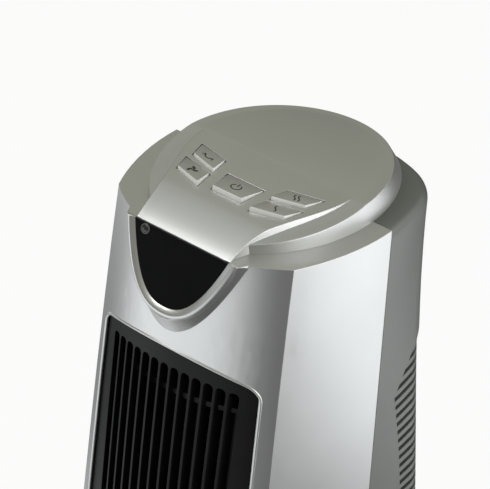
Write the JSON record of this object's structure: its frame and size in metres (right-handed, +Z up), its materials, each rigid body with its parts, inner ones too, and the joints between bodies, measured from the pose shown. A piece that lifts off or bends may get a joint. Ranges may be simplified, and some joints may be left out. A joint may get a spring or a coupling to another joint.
{
  "type": "tower heater",
  "caption": "Tall tower fan heater: faceted tapering body with slotted front grille, sloping display window, oval key cap and a round swivelling base.",
  "frame": {"origin": "on the floor at the swivel axis, under the middle of the round base", "axes": "+Z up along the swivel axis, front with the air outlet towards -Y, +X to the right looking along +Y from the front"},
  "size_m": [0.256, 0.257, 0.5812],
  "materials": {
    "light_shell": "satin moulded plastic with a metallic champagne tint",
    "dark_shell": "dark grey fine-textured moulded plastic",
    "black_plastic": "black semi-gloss plastic",
    "smoked_glass": "dark smoked acrylic",
    "board": "green circuit board",
    "display": "unlit display module",
    "filter": "fine black filter mesh",
    "steel": "plated sheet steel",
    "element": "heater strips with aluminium fins",
    "brass_bush": "sintered bush",
    "inner_plastic": "black moulded plastic",
    "white_plastic": "natural acetal",
    "cast_weight": "rough cast iron",
    "rubber": "soft black rubber",
    "screw": "zinc-plated steel",
    "key_plastic": "satin moulded plastic with printed marks"
  },
  "bodies": {
    "base": {"base_cover": "light_shell", "base_plate": "inner_plastic", "ballast": "cast_weight", "feet": "rubber", "cord_gland": "black_plastic", "tip_switch": "black_plastic", "thrust_washer": "white_plastic", "swing_gear": "white_plastic", "base_screws": "screw", "gear_screws": "screw"},
    "tower": {"air_duct": "steel", "board_screws": "screw", "cap_screws": "screw", "control_board": "board", "display_board": "board", "display_digits": "display", "duct_lid": "steel", "dust_filter": "filter", "fan_bearing": "brass_bush", "fan_motor": "steel", "floor_screws": "screw", "front_grille": "black_plastic", "front_housing": "light_shell", "heater_frame": "steel", "heater_pack": "element", "intake_panel": "dark_shell", "ir_eye": "smoked_glass", "key_switches": "black_plastic", "motor_bracket": "steel", "rear_housing": "dark_shell", "retaining_washer": "white_plastic", "swing_motor": "steel", "thermal_cutout": "steel", "top_cap": "light_shell", "tower_floor": "inner_plastic", "window_lens": "smoked_glass"},
    "fan": {"fan_wheel": "steel", "fan_shaft": "steel"},
    "pinion": {"swing_pinion": "white_plastic"},
    "plunger": {"tip_plunger": "white_plastic"},
    "power_key": {"power_key": "key_plastic"},
    "heat_key_near": {"heat_key_near": "key_plastic"},
    "heat_key_far": {"heat_key_far": "key_plastic"},
    "fan_key": {"fan_key": "key_plastic"},
    "swing_key": {"swing_key": "key_plastic"}
  },
  "joints": [
    {"name": "swing", "type": "hinge", "parent": "base", "child": "tower", "pos_m": [0, 0, 0.038], "axis": [0, 0, 1], "range_deg": [-35, 35]},
    {"name": "pinion_spin", "type": "hinge", "parent": "tower", "child": "pinion", "pos_m": [0.02652, -0.02652, 0.05], "axis": [0, 0, 1], "range_deg": [-140, 140]},
    {"name": "fan_spin", "type": "hinge", "parent": "tower", "child": "fan", "pos_m": [0, 0.03, 0.296], "axis": [0, 0, 1], "continuous": true},
    {"name": "tip_plunger_slide", "type": "slide", "parent": "base", "child": "plunger", "axis": [0, 0, 1], "range_m": [-0.004, 0], "stiffness_N_per_m": 60, "springref_m": -0.004},
    {"name": "power_key_press", "type": "slide", "parent": "tower", "child": "power_key", "axis": [0, 0, 1], "range_m": [-0.0015, 0], "stiffness_N_per_m": 600, "springref_m": 0.0003},
    {"name": "heat_key_near_press", "type": "slide", "parent": "tower", "child": "heat_key_near", "axis": [0, 0, 1], "range_m": [-0.0015, 0], "stiffness_N_per_m": 600, "springref_m": 0.0003},
    {"name": "heat_key_far_press", "type": "slide", "parent": "tower", "child": "heat_key_far", "axis": [0, 0, 1], "range_m": [-0.0015, 0], "stiffness_N_per_m": 600, "springref_m": 0.0003},
    {"name": "fan_key_press", "type": "slide", "parent": "tower", "child": "fan_key", "axis": [0, 0, 1], "range_m": [-0.0015, 0], "stiffness_N_per_m": 600, "springref_m": 0.0003},
    {"name": "swing_key_press", "type": "slide", "parent": "tower", "child": "swing_key", "axis": [0, 0, 1], "range_m": [-0.0015, 0], "stiffness_N_per_m": 600, "springref_m": 0.0003}
  ],
  "couplings": [
    {"joint": "pinion_spin", "follows": "swing", "ratio": 4}
  ]
}
